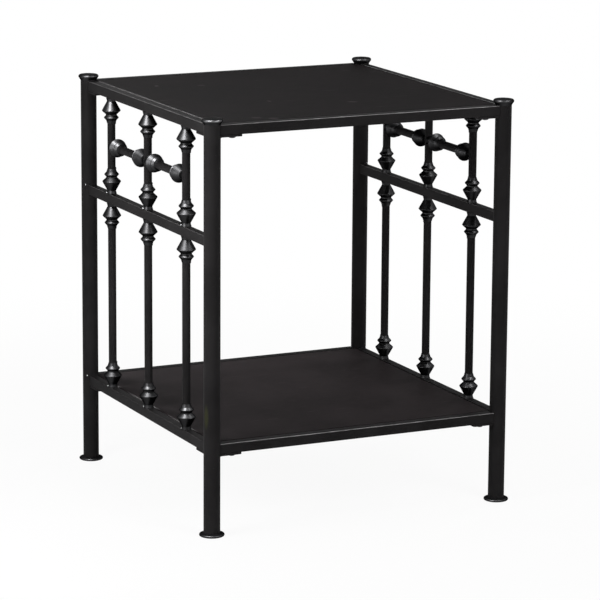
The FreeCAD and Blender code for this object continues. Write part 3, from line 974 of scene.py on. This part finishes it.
class NIGHTSTAND_OT_weld_rails(bpy.types.Operator):
    """Run a bead round both ends of every side rail"""
    bl_idname = "nightstand.weld_rails"
    bl_label = "Weld Rails"

    def execute(self, context):
        for side in SIDES:
            beads = [rail_bead(side, end, level) for end in ENDS for level in LEVELS]
            deliver(beads, f"rail_welds_{side}", "frame_paint")
        return {"FINISHED"}


class NIGHTSTAND_OT_weld_collars(bpy.types.Operator):
    """Run a bead round the foot of every spindle collar"""
    bl_idname = "nightstand.weld_collars"
    bl_label = "Weld Collars"

    def execute(self, context):
        pitch = centre("spindle_left_upper_back").y
        for side in SIDES:
            beads = []
            for bay in BAYS:
                spindle_low, spindle_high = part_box(f"spindle_{side}_{bay}_middle")
                for height in (spindle_low.z, spindle_high.z):
                    ring = collar_bead(side, height)
                    beads += [ring, *copies_at(ring, ((0, pitch, 0), (0, -pitch, 0)))]
            deliver(beads, f"collar_welds_{side}", "frame_paint")
        return {"FINISHED"}


class NIGHTSTAND_OT_tack_collars(bpy.types.Operator):
    """Tack the tip of every spindle collar to its spindle"""
    bl_idname = "nightstand.tack_collars"
    bl_label = "Tack Collars"

    def execute(self, context):
        radii = scaled(TIP_TACK_SHARES, context.scene.nightstand_weld.tack_radius)
        pitch = centre("spindle_left_upper_back").y
        for side, sign in SIDES.items():
            lumps = []
            for bay in BAYS:
                tips = (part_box(f"collars_{side}_{bay}_foot")[1].z,
                        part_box(f"collars_{side}_{bay}_head")[0].z)
                for seed, tip in enumerate(tips):
                    axis = centre(f"spindle_{side}_{bay}_middle")
                    place = Vector((axis.x - sign * SPINDLE_RADIUS, axis.y, tip))
                    lump = tack(place, radii, seed)
                    lumps += [lump, *copies_at(lump, ((0, pitch, 0), (0, -pitch, 0)))]
            deliver(lumps, f"collar_tacks_{side}", "casting_paint")
        return {"FINISHED"}


class NIGHTSTAND_OT_tack_ties(bpy.types.Operator):
    """Tack the foot of every tie collar to its spindle, above and below"""
    bl_idname = "nightstand.tack_ties"
    bl_label = "Tack Ties"

    def execute(self, context):
        weld = context.scene.nightstand_weld
        radii = scaled(TIE_TACK_SHARES, weld.tack_radius)
        height = SPINDLE_RADIUS + TIE_TACK_LIFT * weld.collar_foot_wall
        for side in SIDES:
            lumps = []
            for row in ROWS:
                spindle = centre(f"spindle_{side}_upper_{row}")
                spindle.z = centre(f"tie_{side}_front").z
                ways = {"back": (-1,), "middle": (-1, 1), "front": (1,)}[row]
                for way in ways:
                    for lift in (-1, 1):
                        off = Vector((0, way * SPINDLE_RADIUS, lift * height))
                        lumps.append(tack(spindle + off, radii, len(lumps)))
            deliver(lumps, f"tie_tacks_{side}", "casting_paint")
        return {"FINISHED"}


class NIGHTSTAND_OT_leave_spatter(bpy.types.Operator):
    """Leave bare spots beside the welds of the collars' feet and of the back legs"""
    bl_idname = "nightstand.leave_spatter"
    bl_label = "Leave Spatter"

    def execute(self, context):
        weld = context.scene.nightstand_weld
        radii = scaled(SPATTER_SHARES, weld.spatter_radius)
        foot_radius = SPINDLE_RADIUS + weld.collar_foot_wall
        for side, sign in SIDES.items():
            leg = centre(f"leg_back_{side}")
            collar_way, leg_way = (
                Vector((sign * across, along, 0))
                for across, along in (COLLAR_SPATTER_WAY, LEG_SPATTER_WAY))
            spots = []
            for level in LEVELS[1:]:
                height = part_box(f"rail_{side}_{level}")[1].z
                for row in ROWS:
                    place = centre(f"spindle_{side}_upper_{row}")
                    place.z = height + radii[2]
                    spots.append(tack(place + collar_way * foot_radius, radii, len(spots)))
                leg.z = height
                spots.append(tack(leg + leg_way * LEG_RADIUS, radii, len(spots)))
            deliver(spots, f"weld_spatter_{side}", "bare_steel")
        return {"FINISHED"}


class NIGHTSTAND_OT_weld_plates(bpy.types.Operator):
    """Weld the corner plates to the legs from below"""
    bl_idname = "nightstand.weld_plates"
    bl_label = "Weld Corner Plates"

    def execute(self, context):
        for shelf in SHELVES:
            beads = [plate_bead(shelf, side, end) for side in SIDES for end in ENDS]
            deliver(beads, f"plate_welds_{shelf}", "frame_paint")
        return {"FINISHED"}


class NIGHTSTAND_OT_fit_bolts(bpy.types.Operator):
    """Fit button-head bolts with hexagon sockets under the corner plates"""
    bl_idname = "nightstand.fit_bolts"
    bl_label = "Fit Bolts"

    def execute(self, context):
        bolt = context.scene.nightstand_bolt
        for shelf in SHELVES:
            low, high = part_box(f"shelf_bolts_{shelf}")
            first = low + Vector((bolt.head_radius, bolt.head_radius, bolt.head_height))
            across = high.x - low.x - 2 * bolt.head_radius
            along = high.y - low.y - 2 * bolt.head_radius
            piece = button_bolt(first)
            others = copies_at(piece, ((across, 0, 0), (0, along, 0), (across, along, 0)))
            deliver([piece, *others], f"button_bolts_{shelf}", "bolt_finish",
                    (f"shelf_bolts_{shelf}",))
        return {"FINISHED"}


class NIGHTSTAND_OT_set_stage(bpy.types.Operator):
    """Put up the floor, the lights and the camera"""
    bl_idname = "nightstand.set_stage"
    bl_label = "Set Stage"

    def execute(self, context):
        stage = context.scene.nightstand_stage
        target = Vector(stage.target)
        choose()
        bpy.ops.mesh.primitive_plane_add(size=stage.floor_size)
        floor = context.object
        floor.name = "floor"
        floor.data.materials.append(floor_material())
        set_world()
        lamps = {
            name: add_softbox(f"{name.title()} light", *light, getattr(stage, name), target)
            for name, light in LIGHTS.items()}
        sheets = bpy.data.collections.new("Shelf sheets")
        for shelf in SHELVES:
            sheets.objects.link(frame["nodes"][f"shelf_sheet_{shelf}"])
        lamps["shelf"].light_linking.receiver_collection = sheets
        lamps["gloss"].visible_diffuse = False
        lamps["glint"].visible_diffuse = False

        back = direction(stage.azimuth, stage.elevation)
        bpy.ops.object.camera_add(location=target + back * stage.distance,
                                  rotation=(QUARTER_TURN - stage.elevation, 0, stage.azimuth))
        camera = context.object
        camera.rotation_euler.rotate_axis("Z", stage.roll)
        camera.data.lens = stage.lens
        camera.data.clip_end = stage.floor_size
        context.scene.camera = camera
        context.scene.view_settings.view_transform = "Standard"
        bpy.ops.object.select_all(action="DESELECT")
        return {"FINISHED"}


class NIGHTSTAND_PT_panel(bpy.types.Panel):
    """The nightstand's tools and settings"""
    bl_idname = "NIGHTSTAND_PT_panel"
    bl_label = "Nightstand"
    bl_space_type = "VIEW_3D"
    bl_region_type = "UI"
    bl_category = "Nightstand"

    def draw(self, context):
        for operator in OPERATORS:
            self.layout.operator(operator.bl_idname)
        for name in SETTINGS:
            settings = getattr(context.scene, name)
            box = self.layout.box()
            for prop in settings.bl_rna.properties:
                if prop.identifier in settings.__annotations__:
                    box.prop(settings, prop.identifier)


SETTINGS = {
    "nightstand_finish": FinishSettings,
    "nightstand_weld": WeldSettings,
    "nightstand_bolt": BoltSettings,
    "nightstand_stage": StageSettings,
}

OPERATORS = (
    NIGHTSTAND_OT_paint_frame,
    NIGHTSTAND_OT_paint_rails,
    NIGHTSTAND_OT_paint_shelves,
    NIGHTSTAND_OT_paint_castings,
    NIGHTSTAND_OT_plate_inserts,
    NIGHTSTAND_OT_weld_rails,
    NIGHTSTAND_OT_weld_collars,
    NIGHTSTAND_OT_tack_collars,
    NIGHTSTAND_OT_tack_ties,
    NIGHTSTAND_OT_leave_spatter,
    NIGHTSTAND_OT_weld_plates,
    NIGHTSTAND_OT_fit_bolts,
    NIGHTSTAND_OT_set_stage,
)


def register():
    for group in (*SETTINGS.values(), *OPERATORS, NIGHTSTAND_PT_panel):
        bpy.utils.register_class(group)
    for name, settings in SETTINGS.items():
        setattr(bpy.types.Scene, name, bpy.props.PointerProperty(type=settings))


def unregister():
    for name in SETTINGS:
        delattr(bpy.types.Scene, name)
    for group in reversed((*SETTINGS.values(), *OPERATORS, NIGHTSTAND_PT_panel)):
        bpy.utils.unregister_class(group)


def main():
    register()
    for operator in OPERATORS:
        group, name = operator.bl_idname.split(".")
        getattr(getattr(bpy.ops, group), name)()


if __name__ == "__main__":
    main()
